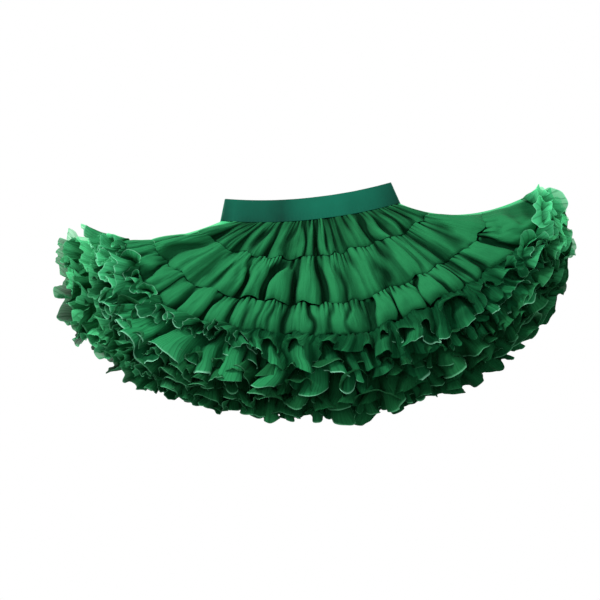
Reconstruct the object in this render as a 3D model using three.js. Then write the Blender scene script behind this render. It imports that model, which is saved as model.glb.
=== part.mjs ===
// A girl's tutu skirt laid flat with its front up, in millimetres: +Z is up and the waist lies towards +Y.
// An elastic waistband carries three nested tubes of gathered cloth. The outer tube has three tiers and a
// frill, and the middle and inner petticoats under it are longer, so that their frills show beyond it.
// The origin is the middle of the waistband's underside, where the skirt rests on the table.
import * as THREE from 'three';

// Cloth
const WALL = 1;
const BAND_WALL = 1.6;
const SEAM_GAP = 0.4;
const LEVEL = WALL + SEAM_GAP;
const LAYER_COUNT = 3;

// Waistband: a shallow arc, slightly turned, drawn in a little at its top edge
const BAND_HEIGHT = 32;
const BAND_LEFT = -110;
const BAND_RIGHT = 117;
const BAND_TURN = 0.1;
const BAND_BOW = 0.00083;
const BAND_DRAWN_IN = 0.01;

// The tubes spread from the waist to the hem along ribs. One row is one rib, from the left side fold to the
// right one. share: the part of the cloth's width that lies left of it; waist: the same on the waistband;
// heading: degrees from +X in which it leaves the waist; hemX, hemY: where it ends at the outermost hem.
const RIBS = [
  { share: 0.00, waist: 0.000, heading: 206, hemX: -321, hemY: -34 },
  { share: 0.10, waist: 0.125, heading: 212, hemX: -321, hemY: -108 },
  { share: 0.20, waist: 0.225, heading: 229, hemX: -269, hemY: -202 },
  { share: 0.31, waist: 0.330, heading: 242, hemX: -170, hemY: -261 },
  { share: 0.42, waist: 0.435, heading: 255, hemX: -70, hemY: -281 },
  { share: 0.50, waist: 0.510, heading: 268, hemX: 9, hemY: -286 },
  { share: 0.60, waist: 0.605, heading: 283, hemX: 91, hemY: -279 },
  { share: 0.70, waist: 0.710, heading: 297, hemX: 168, hemY: -250 },
  { share: 0.79, waist: 0.810, heading: 308, hemX: 240, hemY: -212 },
  { share: 0.88, waist: 0.900, heading: 319, hemX: 306, hemY: -148 },
  { share: 0.94, waist: 0.955, heading: 327, hemX: 337, hemY: -62 },
  { share: 1.00, waist: 1.000, heading: 334, hemX: 320, hemY: 38 },
];
const HEM_ARC = 990;
const RIB_LENGTH = 255;

// Seams and hems, as parts of a rib's length
const YOKE_SEAM = 0.20;
const SECOND_SEAM = 0.45;
const OUTER_SEAM = 0.61;
const OUTER_HEM = 0.775;
const MIDDLE_SEAM = 0.72;
const MIDDLE_HEM = 0.895;
const INNER_SEAM = 0.83;
const INNER_HEM = 1;

// At its right side the skirt lies pulled out, so that its tiers reach further and its frills lie closer together.
// most: how far the outer seam moves, as a part of a rib's length; from and to: the shares between which it grows.
const PULL = { most: 0.24, from: 0.87, to: 0.99, power: 2.8 };

// How far the front of each tube swells up, by the reach given, and how suddenly
const OUTER = { depth: 0, swell: 34, reach: OUTER_SEAM, power: 0.8 };
const MIDDLE = { depth: 1, swell: 18, reach: MIDDLE_SEAM, power: 1.1 };
const INNER = { depth: 2, swell: 2.5, reach: INNER_SEAM, power: 1.2 };
const INSET = 6;
const SIDE_ROUND_AT_WAIST = 8;
const SIDE_ROUND_GROWTH = 45;
const FOLD_BULGE = 0.35;
const BACK_STEPS = 28;

// The large folds of the outer tube's front. width is a part of the cloth's width, depth is in millimetres and
// negative for a valley, and the fold runs between the two reaches.
const FOLDS = [
  { share: 0.075, width: 0.030, depth: 5.0, from: 0.05, to: 0.75 },
  { share: 0.120, width: 0.022, depth: -6.0, from: 0.06, to: 0.60 },
  { share: 0.165, width: 0.025, depth: 5.5, from: 0.10, to: 0.80 },
  { share: 0.215, width: 0.020, depth: -6.5, from: 0.06, to: 0.50 },
  { share: 0.270, width: 0.030, depth: 6.0, from: 0.08, to: 0.62 },
  { share: 0.325, width: 0.018, depth: -5.5, from: 0.08, to: 0.55 },
  { share: 0.390, width: 0.035, depth: 5.0, from: 0.05, to: 0.60 },
  { share: 0.450, width: 0.016, depth: -5.5, from: 0.15, to: 0.70 },
  { share: 0.518, width: 0.018, depth: -8.5, from: 0.07, to: 0.50 },
  { share: 0.565, width: 0.022, depth: 6.0, from: 0.10, to: 0.70 },
  { share: 0.610, width: 0.016, depth: -7.0, from: 0.20, to: 0.80 },
  { share: 0.665, width: 0.035, depth: 5.5, from: 0.03, to: 0.40 },
  { share: 0.725, width: 0.018, depth: -6.0, from: 0.15, to: 0.62 },
  { share: 0.790, width: 0.030, depth: 6.0, from: 0.10, to: 0.70 },
  { share: 0.850, width: 0.020, depth: -7.0, from: 0.10, to: 0.65 },
  { share: 0.910, width: 0.028, depth: 5.5, from: 0.10, to: 0.80 },
];

// A number from 0 to 1 that differs from fold to fold and is the same in every build.
function uneven(index, seed) {
  const wave = Math.sin(index * 12.9898 + seed * 78.233) * 43758.5453;
  return wave - Math.floor(wave);
}

function smooth(low, high, value) {
  return THREE.MathUtils.smoothstep(value, low, high);
}

// One column of the rib table at any share, through the rows on a smooth curve.
function onRibs(column, share) {
  const last = RIBS.length - 1;
  const next = share >= 1 ? last : Math.max(RIBS.findIndex((rib) => rib.share >= share), 1);
  const slope = (row) => {
    const a = RIBS[Math.max(row - 1, 0)];
    const b = RIBS[Math.min(row + 1, last)];
    return (b[column] - a[column]) / (b.share - a.share);
  };
  const a = RIBS[next - 1];
  const b = RIBS[next];
  const span = b.share - a.share;
  const t = (share - a.share) / span;
  const rise = b[column] - a[column];
  const bendA = slope(next - 1) * span - rise;
  const bendB = rise - slope(next) * span;
  return a[column] + t * rise + t * (1 - t) * ((1 - t) * bendA + t * bendB);
}

// The waistband's lower edge, by its own share from the left end to the right end, moved out by a distance.
function waistPoint(share, out = 0) {
  const x = THREE.MathUtils.lerp(BAND_LEFT, BAND_RIGHT, share);
  const slope = BAND_TURN + 2 * BAND_BOW * x;
  const normal = new THREE.Vector2(slope, -1).normalize();
  const y = BAND_TURN * x + BAND_BOW * x * x - BAND_HEIGHT / 2;
  return new THREE.Vector2(x, y).addScaledVector(normal, out);
}

// The part of a rib's length at which the cloth of a reach lies.
function pulled(share, reach) {
  const part = reach < OUTER_SEAM
    ? Math.pow(reach / OUTER_SEAM, PULL.power)
    : Math.max(1 - (reach - OUTER_SEAM) / (1 - OUTER_SEAM), 0);
  return reach + PULL.most * part * smooth(PULL.from, PULL.to, share);
}

// A point of the skirt seen from above: share across the cloth, reach from the waist (0) to the hem (1).
function planPoint(share, reach) {
  const start = waistPoint(onRibs('waist', share), SEAM_GAP);
  const end = new THREE.Vector2(onRibs('hemX', share), onRibs('hemY', share));
  const heading = THREE.MathUtils.degToRad(onRibs('heading', share));
  const half = start.distanceTo(end) / 2;
  const bend = new THREE.Vector2(Math.cos(heading), Math.sin(heading)).multiplyScalar(half).add(start);
  const along = pulled(share, reach);
  const towards = start.clone().lerp(bend, along);
  return towards.lerp(bend.lerp(end, along), along);
}

function planAlong(share, reach) {
  const step = 0.002;
  return planPoint(share + step, reach).sub(planPoint(share - step, reach)).normalize();
}

function arcLength(reach) {
  return THREE.MathUtils.lerp(BAND_RIGHT - BAND_LEFT, HEM_ARC, reach);
}

// The share by which a tube's side folds lie inside those of the outer tube.
const insetShare = (tube, reach) => (tube.depth * INSET) / arcLength(reach);

// 0 at a tube's side folds and 1 on its front, with round sides.
function sideRound(tube, share, reach) {
  const edge = Math.min(share, 1 - share) - insetShare(tube, reach);
  const width = SIDE_ROUND_AT_WAIST + SIDE_ROUND_GROWTH * reach;
  const flat = 1 - THREE.MathUtils.clamp((edge * arcLength(reach)) / width, 0, 1);
  return Math.sqrt(1 - flat * flat);
}

const backLevel = (tube) => WALL / 2 + tube.depth * LEVEL;
const foldLevel = (tube) => WALL / 2 + (2 * LAYER_COUNT - 1 - tube.depth) * LEVEL;

function largeFolds(share, reach) {
  return FOLDS.reduce((sum, fold) => {
    const across = (share - fold.share) / fold.width;
    const along = smooth(fold.from, fold.from + 0.12, reach) * (1 - smooth(fold.to - 0.15, fold.to, reach));
    return sum + fold.depth * along * Math.exp(-across * across * 2);
  }, 0);
}

// The middle of a tube's front wall above the table, without its gathers.
function frontHeight(tube, share, reach) {
  const swell = tube.swell * Math.pow(Math.min(reach, tube.reach) / tube.reach, tube.power);
  const folds = tube === OUTER ? largeFolds(share, reach) : 0;
  return foldLevel(tube) + (swell + folds) * sideRound(tube, share, reach);
}

// Gathers of uneven width and depth across the front, each sampled at the same number of steps.
function gatherStations(count, steps, seed) {
  const widths = Array.from({ length: count }, (_, index) => 0.7 + 0.6 * uneven(index, seed));
  const total = widths.reduce((sum, width) => sum + width, 0);
  const stations = [];
  let start = 0;
  widths.forEach((width, index) => {
    for (let step = 0; step < steps; step += 1) {
      const phase = (step + 0.5) / steps;
      const strength = 0.65 + 0.5 * uneven(index, seed + 1);
      stations.push({ share: (start + phase * width) / total, phase, width: width / total, strength });
    }
    start += width;
  });
  return stations;
}

// One row of a tube as a closed centre line: the front from left to right, the right fold, the back, the left fold.
function tubeRow(tube, stations, row) {
  const backReach = row.backReach ?? row.reach;
  const low = insetShare(tube, backReach);
  const span = 1 - 2 * low;
  const back = row.backHeight ?? backLevel(tube);
  const front = foldLevel(tube);
  const lean = THREE.MathUtils.degToRad(row.lean ?? 0);
  const place = (share, reach, height) => {
    const along = planAlong(share, reach);
    const towardsHem = new THREE.Vector2(along.y, -along.x);
    const plan = planPoint(share, reach).addScaledVector(towardsHem, row.out ?? 0);
    return { point: new THREE.Vector3(plan.x, plan.y, height), along };
  };
  const fold = (share, outward) => {
    const spot = place(share, backReach, (front + back) / 2);
    const bulge = FOLD_BULGE * (front - back) * outward;
    spot.point.x += spot.along.x * bulge;
    spot.point.y += spot.along.y * bulge;
    return spot;
  };
  const ends = [{ share: 0, phase: 0, width: 0, strength: 0 }, { share: 1, phase: 0, width: 0, strength: 0 }];
  const line = [ends[0], ...stations, ends[1]].map((station) => {
    const share = low + station.share * span;
    const round = sideRound(tube, share, backReach);
    const turn = 2 * Math.PI * station.phase;
    const wave = row.depth * station.strength * round * Math.cos(turn);
    const loop = (row.loop ?? 0) * station.width * span * round * Math.sin(2 * turn);
    const frontReach = THREE.MathUtils.lerp(backReach, row.reach, round);
    const reach = frontReach - (wave * Math.sin(lean)) / RIB_LENGTH;
    const height = frontHeight(tube, share, frontReach) + (row.lift ?? 0) * round + wave * Math.cos(lean);
    return place(share + loop, reach, height);
  });
  line.push(fold(1 - low, 1));
  for (let step = 0; step <= BACK_STEPS; step += 1) {
    const inner = step > 0 && step < BACK_STEPS ? 1 : 0;
    const hemWave = (inner * (row.backWave ?? 0) * (uneven(step, tube.depth) - 0.5)) / RIB_LENGTH;
    line.push(place(1 - low - (step / BACK_STEPS) * span, backReach + hemWave, back));
  }
  line.push(fold(low, -1));
  return line;
}

// Thickens rows of closed centre lines into a wall with an outer face, an inner face and two rims.
// The wall is measured across each row, so that the rims of two sewn pieces stay parallel.
function clothWall(rows, wall) {
  const outer = [];
  const inner = [];
  rows.forEach((line) => {
    const count = line.length;
    const sideways = line.map((spot, index) => {
      const next = line[(index + 1) % count].point;
      const run = (next.x - spot.point.x) * spot.along.x + (next.y - spot.point.y) * spot.along.y;
      const rise = next.z - spot.point.z;
      return new THREE.Vector2(-rise, run).normalize();
    });
    line.forEach((spot, index) => {
      const normal = sideways[index].clone().add(sideways[(index + count - 1) % count]);
      const miter = Math.min((wall / 2) * (2 / Math.max(normal.lengthSq(), 0.5)), wall * 0.75);
      const shift = new THREE.Vector3(spot.along.x * normal.x, spot.along.y * normal.x, normal.y);
      outer.push(spot.point.clone().addScaledVector(shift, miter));
      inner.push(spot.point.clone().addScaledVector(shift, -miter));
    });
  });
  const count = rows[0].length;
  const inside = outer.length;
  const faces = [];
  const quad = (a, b, c, d) => faces.push(a, b, c, b, d, c);
  for (let row = 0; row < rows.length - 1; row += 1) {
    for (let index = 0; index < count; index += 1) {
      const next = (index + 1) % count;
      const here = row * count;
      const below = here + count;
      quad(here + index, below + index, here + next, below + next);
      quad(inside + here + index, inside + here + next, inside + below + index, inside + below + next);
    }
  }
  const lastRow = (rows.length - 1) * count;
  for (let index = 0; index < count; index += 1) {
    const next = (index + 1) % count;
    quad(index, next, inside + index, inside + next);
    quad(lastRow + index, inside + lastRow + index, lastRow + next, inside + lastRow + next);
  }
  const geometry = new THREE.BufferGeometry();
  const corners = [...outer, ...inner].flatMap((corner) => [corner.x, corner.y, corner.z]);
  geometry.setAttribute('position', new THREE.Float32BufferAttribute(corners, 3));
  geometry.setIndex(faces);
  geometry.computeVertexNormals();
  return geometry;
}

// The elastic: two faces that lie together at the top edge and open where the gathered cloth is sewn in.
function waistband() {
  const steps = 24;
  const topOpening = BAND_WALL + SEAM_GAP;
  const bottomOpening = foldLevel(OUTER) + WALL / 2 - BAND_WALL;
  const rows = [1, 0.5, 0].map((up) => {
    const opening = THREE.MathUtils.lerp(bottomOpening, topOpening, up);
    const place = (share, height) => {
      const edge = waistPoint(share, -up * BAND_HEIGHT);
      const along = waistPoint(share + 0.01).sub(waistPoint(share - 0.01)).normalize();
      const middle = (BAND_LEFT + BAND_RIGHT) / 2;
      const drawn = middle + (edge.x - middle) * (1 - BAND_DRAWN_IN * up);
      return { point: new THREE.Vector3(drawn, edge.y, height), along };
    };
    const back = BAND_WALL / 2;
    const fold = (share, outward) => {
      const spot = place(share, back + opening / 2);
      spot.point.x += spot.along.x * outward * FOLD_BULGE * opening;
      spot.point.y += spot.along.y * outward * FOLD_BULGE * opening;
      return spot;
    };
    const shares = Array.from({ length: steps + 1 }, (_, step) => step / steps);
    return [
      ...shares.map((share) => place(share, back + opening)),
      fold(1, 1),
      ...shares.map((share) => place(1 - share, back)),
      fold(0, -1),
    ];
  });
  return clothWall(rows, BAND_WALL);
}

const HALF_GAP = SEAM_GAP / 2;

// A tier of the outer tube: gathered at its top seam, full in the middle, calmer where the next tier is sewn on.
function tier(from, to, count, seed, depth) {
  const rows = [
    { reach: from, out: from === 0 ? 0 : HALF_GAP, depth: depth * 0.35, lift: 0.9 },
    { reach: THREE.MathUtils.lerp(from, to, 0.5), depth, lift: 1.5 },
    { reach: to, out: -HALF_GAP, depth: depth * 0.5, lift: 0.9 },
  ];
  const stations = gatherStations(count, 5, seed);
  return clothWall(rows.map((row) => tubeRow(OUTER, stations, row)), WALL);
}

// A petticoat under the outer tube. It only shows at its hem, so its walls are plain.
function petticoat(tube, seam) {
  const steps = 36;
  const stations = Array.from({ length: steps - 1 }, (_, index) => ({
    share: (index + 1) / steps, phase: 0, width: 0, strength: 0,
  }));
  const rows = [0, YOKE_SEAM, SECOND_SEAM, OUTER_SEAM, seam].map((reach) => ({ reach, depth: 0 }));
  rows[rows.length - 1].out = -SEAM_GAP;
  return clothWall(rows.map((row) => tubeRow(tube, stations, row)), WALL);
}

// A frill from its seam to its hem. Its waves grow and close into loops towards the hem.
function frill(tube, count, steps, seed, rows) {
  const stations = gatherStations(count, steps, seed);
  return clothWall(rows.map((row) => tubeRow(tube, stations, row)), WALL);
}

function outerFrill() {
  const rows = [
    { reach: OUTER_SEAM, out: HALF_GAP, depth: 1.2, lift: 0.9 },
    { reach: 0.655, backReach: 0.67, depth: 3, lift: 8, lean: 30, loop: 0.03 },
    { reach: 0.70, backReach: 0.72, depth: 5.5, lift: 15, lean: 35, loop: 0.06 },
    { reach: 0.745, backReach: OUTER_HEM, backWave: 6, depth: 7.5, lift: 19, lean: 35, loop: 0.085 },
  ];
  return frill(OUTER, 36, 6, 11, rows);
}

function middleFrill() {
  const rows = [
    { reach: MIDDLE_SEAM, out: HALF_GAP, depth: 0.8 },
    { reach: 0.795, backReach: 0.805, depth: 4, lift: 2, lean: 20, loop: 0.04 },
    {
      reach: 0.872, backReach: MIDDLE_HEM, backHeight: WALL / 2, backWave: 6,
      depth: 7, lift: 1, lean: 25, loop: 0.085,
    },
  ];
  return frill(MIDDLE, 32, 5, 23, rows);
}

function innerFrill() {
  const rows = [
    { reach: INNER_SEAM, out: HALF_GAP, depth: 0.8 },
    { reach: 0.905, backReach: 0.915, depth: 3, lift: 2, lean: 10, loop: 0.04 },
    {
      reach: 0.975, backReach: INNER_HEM, backHeight: WALL / 2, backWave: 8,
      depth: 5, lift: 3.5, lean: 15, loop: 0.085,
    },
  ];
  return frill(INNER, 30, 5, 37, rows);
}

const elastic = new THREE.MeshStandardMaterial({ color: 0x1c6a54, roughness: 0.5, metalness: 0 });
const chiffon = new THREE.MeshStandardMaterial({
  color: 0x1f7d48, roughness: 0.75, metalness: 0, side: THREE.DoubleSide,
});

const PIECES = [
  { name: 'waistband', geometry: waistband(), material: elastic },
  { name: 'yoke_tier', geometry: tier(0, YOKE_SEAM, 22, 3, 1.8), material: chiffon },
  { name: 'second_tier', geometry: tier(YOKE_SEAM, SECOND_SEAM, 26, 5, 3.4), material: chiffon },
  { name: 'third_tier', geometry: tier(SECOND_SEAM, OUTER_SEAM, 30, 7, 4.2), material: chiffon },
  { name: 'outer_frill', geometry: outerFrill(), material: chiffon },
  { name: 'middle_petticoat', geometry: petticoat(MIDDLE, MIDDLE_SEAM), material: chiffon },
  { name: 'middle_frill', geometry: middleFrill(), material: chiffon },
  { name: 'inner_petticoat', geometry: petticoat(INNER, INNER_SEAM), material: chiffon },
  { name: 'inner_frill', geometry: innerFrill(), material: chiffon },
];

const skirt = new THREE.Group();
skirt.name = 'tutu_skirt';
PIECES.forEach(({ name, geometry, material }) => {
  const mesh = new THREE.Mesh(geometry, material);
  mesh.name = name;
  skirt.add(mesh);
});

export default skirt;
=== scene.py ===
# A girl's tutu skirt laid flat with its front up: the cloth, frills and elastic of the imported model.
# Sizes are in millimetres in the frame of the solids, and become metres where a mesh is made. The floor,
# the lights and the camera are in metres.
import math
import bpy
import numpy as np
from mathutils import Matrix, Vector


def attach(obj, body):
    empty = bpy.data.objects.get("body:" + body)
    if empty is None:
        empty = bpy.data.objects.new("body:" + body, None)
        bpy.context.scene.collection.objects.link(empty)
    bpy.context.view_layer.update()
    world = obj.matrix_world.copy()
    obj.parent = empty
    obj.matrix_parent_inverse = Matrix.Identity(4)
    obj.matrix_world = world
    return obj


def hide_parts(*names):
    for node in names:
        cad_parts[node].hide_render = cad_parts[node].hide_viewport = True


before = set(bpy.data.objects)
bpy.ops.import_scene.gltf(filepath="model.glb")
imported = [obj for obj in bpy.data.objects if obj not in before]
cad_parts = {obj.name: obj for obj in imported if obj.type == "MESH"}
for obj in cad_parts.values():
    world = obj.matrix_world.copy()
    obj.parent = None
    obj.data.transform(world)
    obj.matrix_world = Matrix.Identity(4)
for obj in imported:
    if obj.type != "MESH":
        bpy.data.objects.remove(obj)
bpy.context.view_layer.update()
MM = 0.001

# Cloth and the levels at which the flattened tubes lie
WALL = 1.0
LEVEL = 1.4
LAYER_COUNT = 3

# A usual rib's length, the gap left at each seam and how far the tiers lap over it at the side folds
RIB = 255.0
SEAM_GAP = 0.2 / RIB
SIDE_LAP = 0.9 / RIB

# Waistband: a shallow arc, slightly turned, drawn in a little at its top edge
BAND_HEIGHT = 32.0
BAND_LEFT = -110.0
BAND_RIGHT = 117.0
BAND_TURN = 0.1
BAND_BOW = 0.00083
BAND_DRAWN_IN = 0.01
BAND_WALL = 1.4
BAND_MOUTH = 2.0
WAIST_GAP = 0.4

# The ribs along which the tubes spread from the waist to the hem, from the left side fold to the right one
RIB_COLUMNS = ("share", "waist", "heading", "hem_x", "hem_y")
RIBS = (
    (0.00, 0.000, 206, -321, -34),
    (0.10, 0.125, 212, -321, -108),
    (0.20, 0.225, 229, -269, -202),
    (0.31, 0.330, 242, -170, -261),
    (0.42, 0.435, 255, -70, -281),
    (0.50, 0.510, 268, 9, -286),
    (0.60, 0.605, 283, 91, -279),
    (0.70, 0.710, 297, 168, -250),
    (0.79, 0.810, 308, 240, -212),
    (0.88, 0.900, 319, 306, -148),
    (0.94, 0.955, 327, 337, -62),
    (1.00, 1.000, 334, 320, 38),
)
rib = {column: np.array([row[i] for row in RIBS], float) for i, column in enumerate(RIB_COLUMNS)}

# Seams and hems, as parts of a rib's length
YOKE_SEAM = 0.20
SECOND_SEAM = 0.45
OUTER_SEAM = 0.61
MIDDLE_SEAM = 0.72
INNER_SEAM = 0.83

# At its right side the skirt lies pulled out: its tiers reach further and its frills lie closer together
PULL = {"most": 0.24, "from_share": 0.87, "to_share": 0.99, "power": 2.8}

# The three tubes: which level each lies on, and how far and how suddenly its front swells up
OUTER = {"depth": 0, "swell": 34, "reach": OUTER_SEAM, "power": 0.8}
MIDDLE = {"depth": 1, "swell": 18, "reach": MIDDLE_SEAM, "power": 1.1}
INNER = {"depth": 2, "swell": 2.5, "reach": INNER_SEAM, "power": 1.2}

# How far each tube's side folds lie inside the next one's, how wide their rounds are at the waist and how
# much wider at the hem, and how long the hem is along the front
INSET = 6.0
SIDE_ROUND_AT_WAIST = 8.0
SIDE_ROUND_GROWTH = 45.0
HEM_ARC = 990.0

# A side fold's round, in degrees from its front to its back, and how far it bulges
SIDE_TURN = np.linspace(90, -90, 7)[1:-1]
SIDE_BULGE = 0.7

# The large folds of the outer tube's front, as in the solids: a negative depth is a valley. They wander a
# little, and rise and end over a part of a rib's length.
FOLD_WANDER = 0.006
FOLD_RISE = 0.12
FOLD_END = 0.15
FOLD_COLUMNS = ("share", "width", "depth", "from_reach", "to_reach")
FOLDS = (
    (0.075, 0.030, 5.0, 0.05, 0.75),
    (0.120, 0.022, -6.0, 0.06, 0.60),
    (0.165, 0.025, 5.5, 0.10, 0.80),
    (0.215, 0.020, -6.5, 0.06, 0.50),
    (0.270, 0.030, 6.0, 0.08, 0.62),
    (0.325, 0.018, -5.5, 0.08, 0.55),
    (0.390, 0.035, 5.0, 0.05, 0.60),
    (0.450, 0.016, -5.5, 0.15, 0.70),
    (0.518, 0.018, -8.5, 0.07, 0.50),
    (0.565, 0.022, 6.0, 0.10, 0.70),
    (0.610, 0.016, -7.0, 0.20, 0.80),
    (0.665, 0.035, 5.5, 0.03, 0.40),
    (0.725, 0.018, -6.0, 0.15, 0.62),
    (0.790, 0.030, 6.0, 0.10, 0.70),
    (0.850, 0.020, -7.0, 0.10, 0.65),
    (0.910, 0.028, 5.5, 0.10, 0.80),
)


# Small helpers

def smooth(low, high, value):
    """From 0 at low to 1 at high, with no corner at either."""
    t = np.clip((value - low) / (high - low), 0, 1)
    return t * t * (3 - 2 * t)


def lattice(i, j, seed):
    """A number from -1 to 1 for each pair of whole numbers, the same in every run."""
    wave = np.sin(i * 127.1 + j * 269.5 + seed * 311.7) * 43758.5453
    return 2 * (wave - np.floor(wave)) - 1


def noise(x, seed):
    """Smooth unevenness along a line, from -1 to 1, the same in every run."""
    cell = np.floor(x)
    t = smooth(0, 1, x - cell)
    return lattice(cell, 0, seed) * (1 - t) + lattice(cell + 1, 0, seed) * t


def noise_2d(x, y, seed):
    """Smooth unevenness over a surface, from -1 to 1."""
    i = np.floor(x)
    j = np.floor(y)
    s = smooth(0, 1, x - i)
    t = smooth(0, 1, y - j)
    near = lattice(i, j, seed) * (1 - s) + lattice(i + 1, j, seed) * s
    far = lattice(i, j + 1, seed) * (1 - s) + lattice(i + 1, j + 1, seed) * s
    return near * (1 - t) + far * t


def pipe(g):
    """A row of folds with round tops at 1 and sharp valleys at -0.65, one for each whole number."""
    return 2 * np.sqrt(np.cos(np.pi * g) ** 2 * 0.97 + 0.03) - 1


# The skirt's plan

def on_ribs(column, share):
    """A column of the ribs' table at any share, on a smooth curve through its rows."""
    shares = rib["share"]
    values = rib[column]
    last = len(shares) - 1
    slope = np.empty(last + 1)
    slope[1:last] = (values[2:] - values[:-2]) / (shares[2:] - shares[:-2])
    slope[0] = (values[1] - values[0]) / (shares[1] - shares[0])
    slope[last] = (values[last] - values[last - 1]) / (shares[last] - shares[last - 1])
    b = np.clip(np.searchsorted(shares, share), 1, last)
    a = b - 1
    span = shares[b] - shares[a]
    t = (share - shares[a]) / span
    rise = values[b] - values[a]
    bend_a = slope[a] * span - rise
    bend_b = rise - slope[b] * span
    return values[a] + t * rise + t * (1 - t) * ((1 - t) * bend_a + t * bend_b)


def waist_point(share, out=0.0):
    """The waistband's lower edge, moved out by a distance."""
    x = BAND_LEFT + (BAND_RIGHT - BAND_LEFT) * share
    slope = BAND_TURN + 2 * BAND_BOW * x
    y = BAND_TURN * x + BAND_BOW * x * x - BAND_HEIGHT / 2
    size = np.hypot(slope, 1)
    return x + out * slope / size, y - out / size


def pulled(share, reach):
    """The part of a rib's length at which the cloth of a reach lies."""
    inner = (np.maximum(reach, 0) / OUTER_SEAM) ** PULL["power"]
    outer = np.maximum(1 - (reach - OUTER_SEAM) / (1 - OUTER_SEAM), 0)
    part = np.where(reach < OUTER_SEAM, inner, outer)
    return reach + PULL["most"] * part * smooth(PULL["from_share"], PULL["to_share"], share)


def plan_point(share, reach):
    """Where a point of the cloth lies, seen from above."""
    reach = pulled(share, reach)
    start_x, start_y = waist_point(on_ribs("waist", share), WAIST_GAP)
    end_x = on_ribs("hem_x", share)
    end_y = on_ribs("hem_y", share)
    heading = np.radians(on_ribs("heading", share))
    half = np.hypot(end_x - start_x, end_y - start_y) / 2
    bend_x = start_x + half * np.cos(heading)
    bend_y = start_y + half * np.sin(heading)
    here = (1 - reach) ** 2
    middle = 2 * reach * (1 - reach)
    there = reach ** 2
    return (here * start_x + middle * bend_x + there * end_x,
            here * start_y + middle * bend_y + there * end_y)


def plan_frame(share, reach):
    """The plan point, the unit direction along the hem there, and how many millimetres a whole share is."""
    step = 0.002
    x0, y0 = plan_point(share - step, reach)
    x1, y1 = plan_point(share + step, reach)
    x, y = plan_point(share, reach)
    run = np.hypot(x1 - x0, y1 - y0)
    return x, y, (x1 - x0) / run, (y1 - y0) / run, run / (2 * step)


def rib_length(share):
    """How long the rib of each share is."""
    reaches = np.linspace(0, 1, 13)
    x, y = plan_point(share[None, :], reaches[:, None])
    return np.hypot(np.diff(x, axis=0), np.diff(y, axis=0)).sum(0)


def arc_length(reach):
    """How long the skirt's front is at a reach, from side fold to side fold."""
    return BAND_RIGHT - BAND_LEFT + (HEM_ARC - BAND_RIGHT + BAND_LEFT) * reach


# Heights of the cloth

def inset_share(tube, reach):
    """How far a tube's side fold lies inside the outermost one's."""
    return tube["depth"] * INSET / arc_length(reach)


def side_round(tube, share, reach):
    """0 at a tube's side folds and 1 on its front."""
    edge = np.minimum(share, 1 - share) - inset_share(tube, reach)
    width = SIDE_ROUND_AT_WAIST + SIDE_ROUND_GROWTH * reach
    flat = 1 - np.clip(edge * arc_length(reach) / width, 0, 1)
    return np.sqrt(1 - flat * flat)


def back_level(tube):
    """The height of a tube's back, pressed flat."""
    return WALL / 2 + tube["depth"] * LEVEL


def fold_level(tube):
    """The height at which a tube's front starts at its side folds."""
    return WALL / 2 + (2 * LAYER_COUNT - 1 - tube["depth"]) * LEVEL


def large_folds(share, reach):
    """How high the outer tube's large folds stand."""
    total = 0
    for row in FOLDS:
        fold = dict(zip(FOLD_COLUMNS, row))
        place = fold["share"] + FOLD_WANDER * noise(reach * 5, fold["share"] * 100)
        across = (share - place) / fold["width"]
        begun = smooth(fold["from_reach"], fold["from_reach"] + FOLD_RISE, reach)
        ended = smooth(fold["to_reach"] - FOLD_END, fold["to_reach"], reach)
        total = total + fold["depth"] * begun * (1 - ended) * np.exp(-2 * across * across)
    return total


def front_height(tube, share, reach):
    """How high a tube's front lies."""
    swell = tube["swell"] * (np.minimum(reach, tube["reach"]) / tube["reach"]) ** tube["power"]
    folds = large_folds(share, reach) if tube is OUTER else 0
    return fold_level(tube) + (swell + folds) * side_round(tube, share, reach)


# Meshes

def cloth_piece(name, grids, material):
    """One object from grids of points. A grid holds points (rows, columns, 3) in millimetres, their places on
    the cloth in millimetres, and for each how near it is to a free edge, its painted shade and how sheer."""
    faces = []
    parts = {label: [] for label in ("points", "place", "edge", "painted_shade_and_tone", "sheer")}
    count = 0
    for grid in grids:
        rows, columns = grid["points"].shape[:2]
        ids = count + np.arange(rows * columns).reshape(rows, columns)
        if grid.get("closed"):
            ids = np.concatenate([ids, ids[:, :1]], 1)
        quads = np.stack([ids[:-1, :-1], ids[1:, :-1], ids[1:, 1:], ids[:-1, 1:]], -1)
        faces.append(quads.reshape(-1, 4))
        for label, values in parts.items():
            size = {"points": 3, "place": 2}.get(label, 1)
            whole = np.broadcast_to(grid[label], (rows, columns, size) if size > 1 else (rows, columns))
            values.append(whole.reshape(-1, size))
        count += rows * columns
    points = np.concatenate(parts["points"]) * MM
    faces = np.concatenate(faces)
    mesh = bpy.data.meshes.new(name)
    mesh.from_pydata(points.tolist(), [], faces.tolist())
    mesh.polygons.foreach_set("use_smooth", np.ones(len(faces), bool))
    for label in ("edge", "painted_shade_and_tone", "sheer"):
        layer = mesh.attributes.new(label, "FLOAT", "POINT")
        layer.data.foreach_set("value", np.concatenate(parts[label]).astype(np.float32).reshape(-1))
    layer = mesh.uv_layers.new(name="cloth")
    corner_ids = np.empty(len(mesh.loops), np.int32)
    mesh.loops.foreach_get("vertex_index", corner_ids)
    places = (np.concatenate(parts["place"]) * MM).astype(np.float32)
    layer.data.foreach_set("uv", places[corner_ids].reshape(-1))
    mesh.materials.append(material)
    piece = bpy.data.objects.new(name, mesh)
    bpy.context.scene.collection.objects.link(piece)
    return piece


# Gathered cloth. Seen end on, it swings from side to side as it goes along: a small swing makes shallow
# folds, and one past a right angle closes them into loops.

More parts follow.
